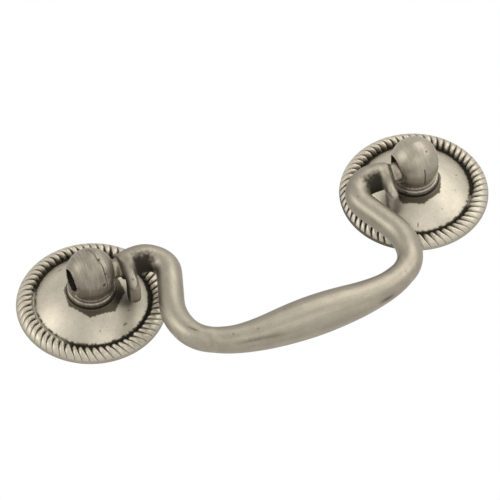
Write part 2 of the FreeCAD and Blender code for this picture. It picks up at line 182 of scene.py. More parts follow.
# Casting pits: x, y, z, radius, depth.
PITS = {
    "left": [(1.5, -15.9, -1.25, 0.3, 0.18), (1.15, -11.8, -5.1, 0.35, 0.2),
             (2.0, -13.8, -4.0, 0.22, 0.12), (0.2, -15.7, 2.2, 0.2, 0.08)],
    "right": [(1.7, -15.6, -2.2, 0.2, 0.08)],
}
# The outer mouth of the bore, which is smaller than the bore and cut back on its near side.
WALL_EDGE = 0.1
WALL_START = 3.2
WALL_FADE = (3.3, 4.35)
SHELL_START = 2.0
MOUTH_RADIUS = 2.5
MOUTH_REACH = 4.1
MOUTH_NEAR_ANGLE = -36.0
MOUTH_ROUGH = 0.08
MOUTH_CUT = 0.6
MOUTH_CUT_FADE = (0.5, 0.9)
MOUTH_INSET = 0.995
WALL_LIP = (0.38, 0.3)
BURR_ANGLE = -48.0
BURR_WIDTH = 15.0
BURR_HEIGHT = 0.5
LIP_STEPS = 6
LIP_OUTWARD = (2.4, 3.0)
LIP_REACH = (4.4, 3.6)
# Zones of the post: ends along n, and radii.
COLLAR_ENDS = ((4.85, 5.0), (6.9, 6.4))
COLLAR_INSIDE = 4.4
NECK_ENDS = ((6.42, 6.6), (7.35, 7.05))
NECK_OUTSIDE = (4.6, 4.4)
SEAT_END = (5.4, 5.15)
THROAT_EDGE = 0.05
THROAT_INSIDE = (5.2, 7.3)
UNDER_BALL_END = (9.3, 7.4)
UNDER_BALL_START = 6.9
# Tones and patina of the post, with painted shade under the ball: 0 is buffed and bright.
COLLAR_ROUGH = 0.05
BALL_UNEVEN = 0.02
BALL_TONE = {"left": 0.4, "right": 0.04}
# Painted shade under each ball, towards the neck.
UNDER_BALL_SHADE = {"left": 0.1, "right": 0.25}
NECK_PATINA = {"left": 0.35, "right": 0.2}
THROAT_PATINA = 0.9
SEAT_PATINA = 0.9
# Painted highlights down the left ball, bright bands where the lamps shine on it: x, width, strength.
BALL_HIGHLIGHT_BANDS = [(-1.6, 0.9, 0.3), (2.3, 0.7, 0.35)]

# ---- bail ----
BAIL_VOXEL = 0.21
BAIL_SMOOTHING = 5
PIN_Y = -10.5
PIN_Z = -0.85
SHOULDER = 31.75
LUG_WIDTH = 2.8
HOOK_START = 28.5
# The nose's flat, as (below the pins, ahead of them), from top to tip.
NOSE_TOP = (1.91, 1.91)
NOSE_TIP = (5.8, -1.3)
CROWN_RISE = 0.1
CROWN_FALL = 0.95
CROWN_POWER = 2.4
NOSE_PROUD = (-1.6, -0.2)
NOSE_BELOW = (-1.5, 1.5)
NOSE_REACH = (1.4, 6.5)
# Where the hooks and the rod are drawn smooth, and how often.
HOOK_STEPS = 30
HOOK_ACROSS = 1.9
HOOK_BELOW = ((-3.5, -1.5), (4.6, 3.9))
HOOK_AHEAD = (-1.4, -0.4)
ROD_STEPS = 55
ROD_END = (27.5, 29.5)
# The swan-neck arches, whose underside stays dark, and the leg's streaks, by distance from the middle.
ARCH_ENDS = ((23.5, 25.0), (29.6, 28.7))
ARCH_BELOW = (7.0, 4.5)
LEG_START = (17.0, 21.0)
ROOF_PATINA = 0.95
# Painted shade on the flat shoulder faces beside the pins.
SHOULDER_FACE_SHADE = 0.8
COLLAR_PATINA = 0.6
BAIL_ROUGH_SCALE = 1.6
BAIL_SOFT_SCALE = 0.4
BAIL_SEEDS = (91, 92)
# The bail is painted lighter where it faces below and in front, and painted darker where it faces up and
# back: painted light and shade.
PAINTED_LIGHT_SIDE = (0.0, -0.6, -0.8)
PAINTED_LIGHT_FADE = (0.65, -0.2)
# Pits and dark streaks of the bail: place, direction, half length, half width, dark, depth.
BAIL_MARKS = [
    ((21.73, -13.52, -6.08), (1, 0, 0), 0.22, 0.22, 0.5, 0.04),
    ((-18.41, -15.62, -30.92), (1, 0, 0), 0.22, 0.22, 0.55, 0.05),
    ((-13.21, -16.14, -32.1), (1, 0, 0), 0.24, 0.2, 0.45, 0.03),
    ((-6.19, -16.78, -30.1), (1, 0, 0), 0.22, 0.2, 0.35, 0.03),
    ((21.93, -15.12, -30.02), (1, 0, 0), 0.22, 0.2, 0.4, 0.03),
    ((-30.57, -10.75, -5.25), (1, 0, 0), 0.26, 0.26, 0.6, 0.12),
    ((-25.48, -15.12, -25.8), (0.6, 0, -0.8), 1.3, 0.2, 0.8, 0.03),
    ((-24.9, -14.8, -25.1), (0.7, 0, -0.7), 0.9, 0.18, 0.7, 0.02),
    ((22.45, -14.16, -25.29), (-0.3, 0, -0.95), 1.1, 0.22, 0.8, 0.04),
    ((15.92, -13.39, -33.95), (1, 0, 0.12), 1.9, 0.45, 0.65, 0.0),
    ((-12.9, -14.86, -33.9), (0.98, -0.03, -0.19), 5.0, 0.4, 0.4, 0.0),
]

# ---- finish: linear colours, and grain per metre along x, y and z ----
# Painted light: the rosettes' pewter is a lighter copy of the same finish, for domes that catch more light.
ROSETTE_LIT_PEWTER = (0.55, 0.5, 0.402, 1)
LEFT_POST_PEWTER = (0.42, 0.38, 0.305, 1)
RIGHT_POST_PEWTER = (0.43, 0.388, 0.31, 1)
BAIL_PEWTER = (0.425, 0.383, 0.302, 1)
# Dull pewter, which the tone field also uses as painted shade on the posts and the bail.
DULL_AND_SHADED_PEWTER = (0.20, 0.175, 0.135, 1)
BARE_PATCH = (0.085, 0.07, 0.049, 1)
# Dark patina, which on the bail's shoulder faces is painted shade.
PATINA_AND_SHADE = (0.03, 0.026, 0.019, 1)
ROSETTE_STREAKS = (900, 900, 900)
LEFT_POST_STREAKS = (3200, 260, 260)
RIGHT_POST_STREAKS = (2600, 300, 300)
BAIL_STREAKS = (45, 700, 700)
SPECKLE_SCALE = (2600, 2600, 2600)
CLOUD_SCALE = (260, 260, 260)
CLOUD_SHARE = 0.16
BUFFED_ROUGHNESS = 0.46
PATINA_ROUGHNESS = 0.7
BUMP_STRENGTH = 0.18
BUMP_DISTANCE = 0.00004

# ---- stage ----
# Lamps: name, direction in the camera's right, up and back, distance, size, watts.
LAMPS = [
    ("front", (0.3, -0.15, 0.94), 1.3, 0.9, 5.0),
    ("above", (0.3, 0.9, 0.25), 1.2, 0.9, 3.6),
    ("below", (0.3, -0.9, 0.3), 1.2, 0.9, 7.0),
    ("left", (-0.84, 0.3, 0.42), 1.2, 0.7, 3.2),
    ("right", (0.78, 0.5, 0.38), 1.2, 0.6, 2.2),
]
LAMP_AIM = Vector((0, -0.01, 0))
WHITE = (1, 1, 1, 1)
WORLD_LIGHT = 0.3
FLOOR_HALF = 0.8
FLOOR_HEIGHT = -0.8
FLOOR_COLOUR = (0.75, 0.75, 0.75, 1)
FLOOR_ROUGHNESS = 0.8
FLOOR_PALE = 0.6


def smoothstep(low, high, value):
    t = np.clip((np.asarray(value, float) - low) / (high - low), 0.0, 1.0)
    return t * t * (3 - 2 * t)


def mixed(a, b, share):
    return a + (b - a) * share


def faded(value, *ends):
    """1 between two ends, each of them a smoothstep's low and high."""
    first, second = ends
    return smoothstep(*first, value) * smoothstep(*second, value)


def bell(value, width):
    """1 where the value is 0, falling to nothing over a few widths."""
    return np.exp(-(value / width) ** 2)


def streak_bell(along, length, aside, width):
    """As bell, but flat along a streak and with sharper ends."""
    return np.exp(-(along / length) ** 4 - (aside / width) ** 2)


def wavy(points, scale, seed):
    """Smooth noise, about -1 to 1, at each row of an array of points."""
    offset = Vector((seed * 7.31, seed * 3.17, seed * 5.71))
    return np.array([noise.noise(Vector(p) * scale + offset) for p in points])


def mesh_of(name, points, faces, fields):
    """A smooth mesh in metres, with each field as a value per point."""
    mesh = bpy.data.meshes.new(name)
    mesh.from_pydata((points * MM).tolist(), [], faces)
    mesh.validate()
    mesh.update()
    mesh.polygons.foreach_set("use_smooth", np.ones(len(mesh.polygons), dtype=bool))
    for field, values in fields.items():
        attribute = mesh.attributes.new(field, "FLOAT", "POINT")
        attribute.data.foreach_set("value", np.asarray(values, dtype=np.float32))
    return mesh


def piece_of(name, mesh, body, node, material):
    piece = bpy.data.objects.new(name, mesh)
    bpy.context.scene.collection.objects.link(piece)
    mesh.materials.append(material)
    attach(piece, body)
    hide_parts(node)


# ---- rosette ----

def arc_height(sphere, radius):
    return float(SPHERE_CENTRE + np.sqrt(sphere ** 2 - radius ** 2))


def rolled_height(radius):
    """Height of the rope's back, which rolls over from its crest to the rim."""
    share = np.clip((radius - ROPE_CREST_RADIUS) / (RIM_RADIUS - ROPE_CREST_RADIUS), 0, 1)
    left = (1 - share ** ROLL_POWERS[0]) ** ROLL_POWERS[1]
    return RIM_HEIGHT + (ROPE_CREST - RIM_HEIGHT) * left


def stretch(turn, place, fade):
    """Share of an odd stretch of the rope at each column."""
    middle, half, share = place
    away = np.abs((turn - middle + 180) % 360 - 180)
    return share * (1 - smoothstep(half * fade, half, away))


def polygon_radius(angle, corners):
    """Distance from the axis to a polygon's outline at each angle."""
    result = np.full(angle.shape, BEYOND)
    spots = [(r * math.cos(math.radians(a)), r * math.sin(math.radians(a))) for a, r in corners]
    for (ax, az), (bx, bz) in zip(spots, spots[1:] + spots[:1]):
        nx, nz = bz - az, ax - bx
        reach = nx * ax + nz * az
        facing = nx * np.cos(angle) + nz * np.sin(angle)
        hit = np.where(facing > 1e-6, reach / np.maximum(facing, 1e-6), BEYOND)
        result = np.minimum(result, hit)
    return result


class Strands:
    """How the strands differ from each other, and where each column lies on its strand."""

    def __init__(self, side):
        draw = np.random.default_rng(ROPE_SEED[side])
        self.shift = draw.uniform(*SHIFT_RANGE, STRANDS)
        rise = draw.uniform(*RISE_RANGE, STRANDS)
        inner = draw.uniform(*START_RANGE, STRANDS)
        gap = draw.uniform(*GAP_RANGE, STRANDS)
        self.waver = draw.uniform(*WAVER_RANGE, STRANDS)
        column = np.arange(COLUMNS)
        self.strand = column // STRAND_COLUMNS
        self.across = (column % STRAND_COLUMNS) / STRAND_COLUMNS
        self.u = 2 * self.across - 1
        nearest = np.where(self.across < 0.5, self.strand, (self.strand + 1) % STRANDS)
        self.rise = rise[self.strand]
        self.inner = inner[self.strand]
        self.gap = gap[nearest]
        self.angle = 2 * math.pi * (column / COLUMNS)
        turn = np.degrees(self.angle)
        self.closed = stretch(turn, CLOSED_BAND[side], CLOSED_FADE)
        self.missed = stretch(turn, DARK_ROPE[side], DARK_FADE)

    def between(self, values):
        """A value per strand, blended from each strand to the next, as a turn."""
        following = np.concatenate([values[1:], values[:1]])
        pitch = 2 * math.pi / STRANDS
        return mixed(values[self.strand], following[self.strand], self.across) * pitch


class Profile:
    """Rings of a rosette, from the seat out over the dome and the rope and back under it."""

    def __init__(self):
        self.radii, self.heights, self.patinas, self.kinds = [], [], [], []

    def ring(self, radius, height, patina_and_shade=0.0, kind="plain"):
        for values, value in ((self.radii, radius), (self.heights, height), (self.patinas, patina_and_shade)):
            values.append(np.full(COLUMNS, value, float))
        self.kinds.append(kind)

    def of_kind(self, *kinds):
        return np.array([kind in kinds for kind in self.kinds], float)[:, None]


def add_dome(profile):
    for radius in (HOLE_RADIUS, SEAT_MIDDLE, SEAT_RADIUS):
        profile.ring(radius, SEAT_HEIGHT, ROSETTE_PATINA["seat"])
    for radius in np.linspace(SEAT_RADIUS, DOME_RADIUS, DOME_RINGS)[1:]:
        profile.ring(radius, arc_height(DOME_SPHERE, radius), 0.0, "dome")
    half_way = mixed(arc_height(DOME_SPHERE, DOME_RADIUS), GROOVE_FLOOR, 0.5)
    profile.ring(DOME_RADIUS + DOME_EDGE_STEPS[0], half_way, ROSETTE_PATINA["edge"], "groove")
    for radius in (DOME_RADIUS + DOME_EDGE_STEPS[1],) + GROOVE_RINGS:
        profile.ring(radius, GROOVE_FLOOR, ROSETTE_PATINA["groove"], "groove")


def add_rope(profile, strands):
    u, missed = np.abs(strands.u), strands.missed
    start = (ROPE_INNER + strands.inner - CLOSED_REACH * strands.closed
             + STRAND_TAPER * u ** 2.0 + STRAND_SKEW * strands.u)
    for radius in np.linspace(ROPE_INNER, ROPE_OUTER, ROPE_RINGS):
        rise = np.sqrt(1 - (1 - np.clip((radius - start) / STRAND_NOSE, 0, 1)) ** 2)
        crest = GROOVE_FLOOR + (ROPE_CREST + strands.rise - GROOVE_FLOOR) * rise
        crest = np.minimum(crest, rolled_height(radius)) + strands.rise * RISE_LEFT
        far = float(smoothstep(*FAR, radius))
        power = mixed(INNER_POWER, mixed(*OUTER_POWER, missed), far)
        bulge = np.sqrt(np.clip(1 - u ** power, 0, 1))
        depth = mixed(1.0, mixed(*OUTER_DEPTH, missed), far) * strands.gap
        floor = min(GROOVE_FLOOR, float(np.min(crest)) - FLOOR_DROP)
        height = floor + (crest - floor) * (1 - depth * (1 - bulge))
        low = (crest - height) / (ROPE_CREST - GROOVE_FLOOR)
        gap_start = mixed(*GAP_START, missed)
        in_gap = smoothstep(gap_start, gap_start + mixed(*GAP_WIDTH, missed), u)
        patina_and_shade = np.maximum(smoothstep(*DEEP_PATINA, low), smoothstep(*NOSE_PATINA, rise))
        patina_and_shade = np.maximum(patina_and_shade, in_gap * mixed(1.0, GAP_PATINA, far))
        profile.ring(radius, height, patina_and_shade, "rope")


def add_rim_and_back(profile, missed):
    rim_patina = RIM_PATINA[0] + RIM_PATINA[1] * missed
    for radius in RIM_RINGS:
        profile.ring(radius, float(rolled_height(radius)), rim_patina, "rim")
    profile.ring(RIM_RADIUS, RIM_HEIGHT, EDGE_PATINA[0] + EDGE_PATINA[1] * missed, "rim")
    for radius in BACK_RINGS:
        profile.ring(radius, 0.0, ROSETTE_PATINA["back"], "back")
    for radius in np.linspace(HOLLOW_RADIUS, HOLLOW_END, HOLLOW_RINGS):
        profile.ring(radius, arc_height(HOLLOW_SPHERE, radius), ROSETTE_PATINA["hollow"], "back")
    for height, patina_and_shade in HOLE_WALL:
        profile.ring(HOLE_RADIUS, height, patina_and_shade, "back")


def ring_turns(profile):
    """How far each ring is turned: the strands slant more and more, and the back turns them off again."""
    turns = np.zeros(len(profile.kinds))
    total = 0.0
    for index in range(1, len(turns)):
        here, before = profile.radii[index][0], profile.radii[index - 1][0]
        if profile.kinds[index] in ROPE_KINDS and here > before:
            share = np.clip((here - ROPE_INNER) / (ROPE_OUTER - ROPE_INNER), 0, 1)
            total += math.tan(mixed(INNER_SLANT, OUTER_SLANT, share)) * (here - before) / here
        turns[index] = total
    back = [index for index, kind in enumerate(profile.kinds) if kind == "back"]
    for place, index in enumerate(back):
        turns[index] = total * (1 - (place + 1) / len(back))
    return turns[:, None]


def dome_marks(side, x, z):
    """Depth share of the dome's dents and scratches."""
    deepest = np.zeros_like(x)
    total = np.zeros_like(x)
    for spot_x, spot_z, length, width, lean in DOME_MARKS[side]:
        along = (x - spot_x) * math.cos(lean) + (z - spot_z) * math.sin(lean)
        aside = (z - spot_z) * math.cos(lean) - (x - spot_x) * math.sin(lean)
        mark = streak_bell(along, length, aside, width)
        deepest = np.maximum(deepest, mark)
        total = total + mark
    return deepest, total


def ring_faces(rows):
    faces = []
    for row in range(rows):
        here = row * COLUMNS
        below = ((row + 1) % rows) * COLUMNS
        for j in range(COLUMNS):
            k = (j + 1) % COLUMNS
            faces.append((here + j, below + j, below + k, here + k))
    return faces


def rosette_mesh(side):
    strands = Strands(side)
    profile = Profile()
    add_dome(profile)
    add_rope(profile, strands)
    add_rim_and_back(profile, strands.missed)
    radii, heights, patinas = (np.array(v) for v in (profile.radii, profile.heights, profile.patinas))
    swing = np.sin((radii - ROPE_INNER) * WAVER_RATE)
    loose = strands.between(strands.shift) + strands.between(strands.waver) * swing
    angles = strands.angle + ring_turns(profile) + profile.of_kind(*ROPE_KINDS) * loose
    x = radii * np.cos(angles)
    z = radii * np.sin(angles)

    spots = np.stack([x, z, heights], -1).reshape(-1, 3)
    rough = wavy(spots, ROUGH_SCALE, ROPE_SEED[side]).reshape(radii.shape)
    fine = wavy(spots, FINE_SCALE, ROPE_SEED[side] + 1).reshape(radii.shape)
    groove, dome = profile.of_kind("groove"), profile.of_kind("dome")
    closed = strands.closed * groove
    deepest, marks = dome_marks(side, x, z)
    heights = heights + groove * rough * GROOVE_ROUGH + profile.of_kind("rope") * rough * ROPE_ROUGH
    heights = heights + dome * fine * DOME_FINE + CLOSED_RISE * closed - marks * MARK_DEPTH * dome
    ragged = smoothstep(DOME_RADIUS - RAGGED_WIDTH, DOME_RADIUS, radii + rough * RAGGED_WIDTH) * dome
    patinas = np.maximum(patinas, ragged * RAGGED_PATINA) * (1 - CLOSED_CLEAN * closed)
    patinas = np.maximum(patinas, deepest * MARK_PATINA * dome)
    outline = polygon_radius((angles + math.pi) % (2 * math.pi) - math.pi, PATCH_CORNERS[side])
    patch = dome * (1 - smoothstep(-PATCH_EDGE, PATCH_EDGE, radii - outline + rough * PATCH_RAGGED))
    tone_and_shade = np.clip(DOME_TONE[side] + DOME_CLOUDS * fine * dome + profile.of_kind("rim") * RIM_TONE, 0, 1)

    points = np.stack([SIDES[side] * SCREW_X + x, -heights, z], -1).reshape(-1, 3)
    fields = {"patina_and_shade": patinas.reshape(-1), "patch": patch.reshape(-1), "tone_and_shade": tone_and_shade.reshape(-1)}
    return mesh_of("rosette_" + side + "_cast", points, ring_faces(len(radii)), fields)


# ---- fine meshes of the posts and the bail ----

def remeshed(node, voxel, steps):
    """The node's surface in even small faces."""
    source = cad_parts[node].data.copy()
    source.transform(Matrix.Scale(1 / MM, 4))
    carrier = bpy.data.objects.new(node + "_carrier", source)
    bpy.context.scene.collection.objects.link(carrier)
    remesh = carrier.modifiers.new("remesh", "REMESH")
    remesh.mode = "VOXEL"
    remesh.voxel_size = voxel
    smooth = carrier.modifiers.new("smooth", "SMOOTH")
    smooth.factor = 0.5
    smooth.iterations = steps
    graph = bpy.context.evaluated_depsgraph_get()
    result = bpy.data.meshes.new_from_object(carrier.evaluated_get(graph))
    bpy.data.objects.remove(carrier)
    points = np.empty(len(result.vertices) * 3)
    result.vertices.foreach_get("co", points)
    faces = [tuple(face.vertices) for face in result.polygons]
    edges = np.empty(len(result.edges) * 2, dtype=int)
    result.edges.foreach_get("vertices", edges)
    bpy.data.meshes.remove(result)
    return points.reshape(-1, 3), faces, edges.reshape(-1, 2)


def relaxed(points, edges, weight, steps):
    """Points drawn towards their neighbours' middle, each by its own weight."""
    count = np.bincount(edges.reshape(-1), minlength=len(points))[:, None]
    for _ in range(steps):
        total = np.zeros_like(points)
        np.add.at(total, edges[:, 0], points[edges[:, 1]])
        np.add.at(total, edges[:, 1], points[edges[:, 0]])
        points = mixed(points, total / count, 0.5 * weight[:, None])
    return points


def normals_of(points, faces):
    """Outward direction at each point, from the quads around it."""
    quads = np.array([face if len(face) == 4 else face[:3] + face[2:3] for face in faces])
    first = points[quads[:, 2]] - points[quads[:, 0]]
    second = points[quads[:, 3]] - points[quads[:, 1]]
    cross = np.cross(first, second)
    total = np.zeros_like(points)
    for corner in range(4):
        for axis in range(3):
            total[:, axis] += np.bincount(quads[:, corner], cross[:, axis], len(points))
    return total / np.maximum(np.linalg.norm(total, axis=1, keepdims=True), 1e-12)


# ---- post ----

def seam_distance(side, x, z):
    """Distance across the ball from its parting line, or from the crack on the right."""
    if side == "left":
        middle, lean, top = SEAM_PLACE
        height, rate, phase = SEAM_WAVE
        return x - (middle + lean * (top - z) + height * np.sin(z * rate + phase))
    height, rate = CRACK_WAVE
    return x - (CRACK_PLACE + height * np.sin(z * rate))


def ball_marks(side, x, z, n, outer, rough):
    """Lift and darkness of the parting line, the crack, the scar and the pits."""
    away = seam_distance(side, x, z)
    if side == "left":
        (low, high, near), (above, under, top) = SEAM_ENDS
        shown = smoothstep(low, high, n - near) * smoothstep(above, under, z - top) * outer
        ridge, valley = (bell(away - at, width) * height for at, width, height in (SEAM_RIDGE, SEAM_VALLEY))
        lift = (ridge - valley) * shown
        dark = bell(away - SEAM_DARK[0], SEAM_DARK[1]) * shown * (0.75 + 0.25 * rough)
    else:
        shown = faded(n, *CRACK_ENDS) * (z < 0) * outer
        (at_x, at_z, at_n), (wide, high, deep), rise, uneven = SCAR
        scar = bell(x - at_x, wide) * bell(z - at_z, high) * bell(n - at_n, deep)
        lift = scar * (rise + uneven * rough) - bell(away, CRACK_WIDTH) * CRACK_DEPTH * shown
        dark = bell(away, CRACK_DARK) * shown
    for pit_x, pit_y, pit_z, width, depth in PITS[side]:
        near = bell(x - pit_x, width) * bell(n + pit_y, width) * bell(z - pit_z, width)
        lift = lift - near * depth
        dark = np.maximum(dark, near)
    return lift, dark


def with_mouth(points, edges, side, outward, bore, rough, z, n):
    """The bore's outer mouth: its wall and the shell round it drawn in, and cut back on the near side."""
    inside = bore < BORE_RADIUS + WALL_EDGE
    wall = inside & (outward > WALL_START)
    shell = ~inside & (bore < MOUTH_REACH) & (outward > SHELL_START)
    closing = np.where(wall, smoothstep(*WALL_FADE, outward), 0.0)
    closing = np.where(shell, (MOUTH_REACH - bore) / (MOUTH_REACH - BORE_RADIUS), closing)
    round_bore = np.degrees(np.arctan2(z, n - BORE_CENTRE))
    facing = np.cos(np.radians(round_bore - MOUTH_NEAR_ANGLE))
    near_side = np.clip(facing, 0, 1)
    drawn = closing * (BORE_RADIUS - MOUTH_RADIUS) * (1 - facing) + closing * rough * MOUTH_ROUGH
    if side == "left":
        drawn = drawn + closing * bell(round_bore - BURR_ANGLE, BURR_WIDTH) * BURR_HEIGHT
    share = drawn / np.maximum(bore, 0.1)
    points[:, 1] -= (points[:, 1] + BORE_CENTRE) * share
    points[:, 2] -= points[:, 2] * share
    inner_n, outer_n = BALL_CENTRES
    off_core = np.maximum(-points[:, 1] - outer_n, 0) + np.maximum(inner_n + points[:, 1], 0)
    reach = np.sqrt(np.maximum(BALL_RADIUS ** 2 - points[:, 2] ** 2 - off_core ** 2, 0.0))
    on_ball = SIDES[side] * (SCREW_X + reach * MOUTH_INSET)
    points[:, 0] = np.where(shell, on_ball, points[:, 0])
    lip = closing * (WALL_LIP[0] - WALL_LIP[1] * near_side)
    cut = MOUTH_CUT * near_side * smoothstep(*MOUTH_CUT_FADE, closing) * shell
    points[:, 0] += SIDES[side] * (np.where(wall, lip, 0.0) - cut)
    rounded = smoothstep(*LIP_OUTWARD, outward) * smoothstep(*LIP_REACH, bore)
    return relaxed(points, edges, rounded, LIP_STEPS)


def post_mesh(side):
    points, faces, edges = remeshed("post_" + side, POST_VOXEL, POST_SMOOTHING)
    out = normals_of(points, faces)
    x = points[:, 0] - SIDES[side] * SCREW_X
    z = points[:, 2].copy()
    n = -points[:, 1]
    radius = np.hypot(x, z)
    bore = np.hypot(n - BORE_CENTRE, z)
    rough = wavy(points, POST_ROUGH_SCALE, 3 + ROPE_SEED[side])
    soft = wavy(points, POST_SOFT_SCALE, 5 + ROPE_SEED[side])
    within = (bore < BORE_RADIUS + BORE_EDGE) & (radius < BORE_INSIDE[0]) & (n > BORE_INSIDE[1])
    outer = np.clip((n - BALL_START) / 0.5, 0, 1) * ~within
    lift, dark = ball_marks(side, x, z, n, outer, rough)
    collar = faded(n, *COLLAR_ENDS) * (radius > COLLAR_INSIDE)
    if side == "right":
        lift = lift + collar * (rough * COLLAR_ROUGH)
    lift = lift + soft * BALL_UNEVEN * outer
    points = points + out * lift[:, None]
    points = with_mouth(points, edges, side, x * SIDES[side], bore, rough, z, n)

    throat = smoothstep(BORE_RADIUS + THROAT_EDGE, BORE_RADIUS - THROAT_EDGE, bore)
    throat = throat * (n > THROAT_INSIDE[1]) * (radius < THROAT_INSIDE[0])
    neck = faded(n, *NECK_ENDS) * smoothstep(*NECK_OUTSIDE, radius)
    seat = smoothstep(*SEAT_END, n)
    patina_and_shade = np.maximum(np.maximum(dark, throat * THROAT_PATINA), seat * SEAT_PATINA)
    patina_and_shade = np.maximum(patina_and_shade, neck * (NECK_PATINA[side] + 0.25 * rough))
    tone_and_shade = np.clip(BALL_TONE[side] + 0.32 * soft + 0.14 * rough, 0, 1)
    if side == "left":
        # Painted highlights: bright bands down the left ball.
        highlight_bands = [strength * bell(x - middle, width) for middle, width, strength in BALL_HIGHLIGHT_BANDS]
        tone_and_shade = np.clip(tone_and_shade - sum(highlight_bands), 0, 1)
    tone_and_shade = np.where(collar > 0.5, 0.1 * soft + 0.25 * np.maximum(rough, 0), tone_and_shade)
    # Painted shade: the ball darker towards the neck, on its underside.
    shade_under_ball = smoothstep(*UNDER_BALL_END, n) * (n > UNDER_BALL_START)
    tone_and_shade = np.clip(tone_and_shade + shade_under_ball * UNDER_BALL_SHADE[side], 0, 1)
    fields = {"patina_and_shade": np.clip(patina_and_shade, 0, 1), "tone_and_shade": tone_and_shade}
    return mesh_of("post_" + side + "_cast", points, faces, fields)


# ---- bail ----

def hook_places(points):
    """Each point from the hooks: across their width, ahead of the pins and below them."""
    across = (np.abs(points[:, 0]) - SHOULDER + LUG_WIDTH / 2) / (LUG_WIDTH / 2)
    return across, PIN_Y - points[:, 1], PIN_Z - points[:, 2]


def with_crowned_noses(points):
    """The noses' flats made round across, on the side of the shoulder only well below the pins."""
    across, ahead, below = hook_places(points)
    run = np.array([NOSE_TIP[0] - NOSE_TOP[0], NOSE_TIP[1] - NOSE_TOP[1]])
    run = run / np.linalg.norm(run)
    facing = np.array([-run[1], run[0]])
    proud = (below - NOSE_TOP[0]) * facing[0] + (ahead - NOSE_TOP[1]) * facing[1]
    nose = smoothstep(*NOSE_PROUD, proud) * smoothstep(*NOSE_BELOW, below)
    nose = nose * (np.abs(across) < NOSE_REACH[0]) * (below < NOSE_REACH[1])
    crown = np.clip(np.abs(across), 0, 1.1) ** CROWN_POWER * CROWN_FALL - CROWN_RISE
    crown = crown * np.where(across < 0, smoothstep(1.0, 3.0, below), 1.0)
    points[:, 2] += nose * crown * facing[0]
    points[:, 1] += nose * crown * facing[1]
    return points, across, ahead, below


def bail_marks(points, rough):
    """How dark and how deep the bail's marks are at each point."""
    dark = np.zeros(len(points))
    deep = np.zeros(len(points))
    for spot, way, length, width, share, depth in BAIL_MARKS:
        way = np.array(way) / np.linalg.norm(way)
        offset = points - np.array(spot)
        along = offset @ way
        aside = np.linalg.norm(offset - along[:, None] * way, axis=1)
        near = streak_bell(along, length, aside, width) * np.clip(0.85 + 0.4 * rough, 0, 1)
        dark = np.maximum(dark, near * share)
        deep = np.maximum(deep, near * depth)
    return dark, deep


def bail_mesh():
    points, faces, edges = remeshed("bail", BAIL_VOXEL, BAIL_SMOOTHING)
    points, across, ahead, below = with_crowned_noses(points)
    near_hook = (np.abs(across) < HOOK_ACROSS) * faded(below, *HOOK_BELOW) * smoothstep(*HOOK_AHEAD, ahead)
    points = relaxed(points, edges, near_hook, HOOK_STEPS)
    rod = 1 - smoothstep(*ROD_END, np.abs(points[:, 0]))
    points = relaxed(points, edges, rod, ROD_STEPS)

    out = normals_of(points, faces)
    rough = wavy(points, BAIL_ROUGH_SCALE, BAIL_SEEDS[0])
    soft = wavy(points, BAIL_SOFT_SCALE, BAIL_SEEDS[1])
    wide = np.abs(points[:, 0])
    across, ahead, below = hook_places(points)
    from_pin = np.hypot(ahead, below)
    on_hook = wide > HOOK_START
    arch = faded(wide, *ARCH_ENDS) * smoothstep(*ARCH_BELOW, below)
    roof = ROOF_PATINA * arch * smoothstep(-0.15, 0.7, -out[:, 2] + 0.3 * rough + 0.15 * soft)
    # Painted shade on the shoulder faces, round the pins.
    face = SHOULDER_FACE_SHADE * smoothstep(SHOULDER - 0.25, SHOULDER - 0.05, wide) * smoothstep(2.6, 2.9, from_pin)
    collar = (wide > SHOULDER - 0.1) * (wide < SHOULDER + 0.35) * smoothstep(2.9, 2.6, from_pin)
    dark, deep = bail_marks(points, rough)
    points = points - out * deep[:, None]
    patina_and_shade = np.maximum(np.maximum(roof, dark), np.maximum(face, COLLAR_PATINA * collar))

    # Painted light and shade on the hooks: the lug behind the nose darker, the finger brighter, the left
    # finger's side towards the ball darker, and the middle of the nose near the pins darker.
    lug_shade = on_hook * smoothstep(-1.2, -1.5, ahead) * (below > 2.2)
    finger_highlight = on_hook * smoothstep(0.0, 2.0, below) * smoothstep(-1.3, -1.0, ahead)
    flank_shade = smoothstep(SHOULDER - 1.1, SHOULDER - 0.5, wide) * smoothstep(-2.5, 0.0, below)
    flank_shade = flank_shade * (ahead > -1.3) * (points[:, 0] < 0)
    hollow = bell(across, 0.5) * smoothstep(-1.0, 0.5, below) * smoothstep(3.6, 2.6, below)
    hollow = hollow * (ahead > 0) * on_hook
    # The lug, the left finger's side and the middle of the nose are painted shade; the finger is a painted
    # highlight.
    tone_and_shade = 0.12 + 0.12 * soft + 0.4 * lug_shade + 0.3 * arch * smoothstep(-0.2, 0.3, -out[:, 2])
    # Painted light and shade: lighter where the bail faces below and in front, darker where it faces up and
    # back.
    tone_and_shade = tone_and_shade + 0.8 * smoothstep(*PAINTED_LIGHT_FADE, out @ np.array(PAINTED_LIGHT_SIDE))
    tone_and_shade = np.clip(tone_and_shade * (1 - 0.9 * finger_highlight) + 0.6 * flank_shade + 0.6 * hollow, 0, 1)
    fields = {"patina_and_shade": np.clip(patina_and_shade, 0, 1), "tone_and_shade": tone_and_shade, "upright": smoothstep(*LEG_START, wide)}
    return mesh_of("bail_cast", points, faces, fields)


# ---- finish ----

def node_of(tree, kind, **inputs):
    made = tree.nodes.new(kind)
    for name, value in inputs.items():
        made.inputs[name].default_value = value
    return made


def math_node(tree, operation, *inputs):
    """A math node's output; each input is a number or another node's output."""
    made = tree.nodes.new("ShaderNodeMath")
    made.operation = operation
    for socket, value in zip(made.inputs, inputs):
        if isinstance(value, float):
            socket.default_value = value
        else:
            tree.links.new(value, socket)
    return made.outputs[0]


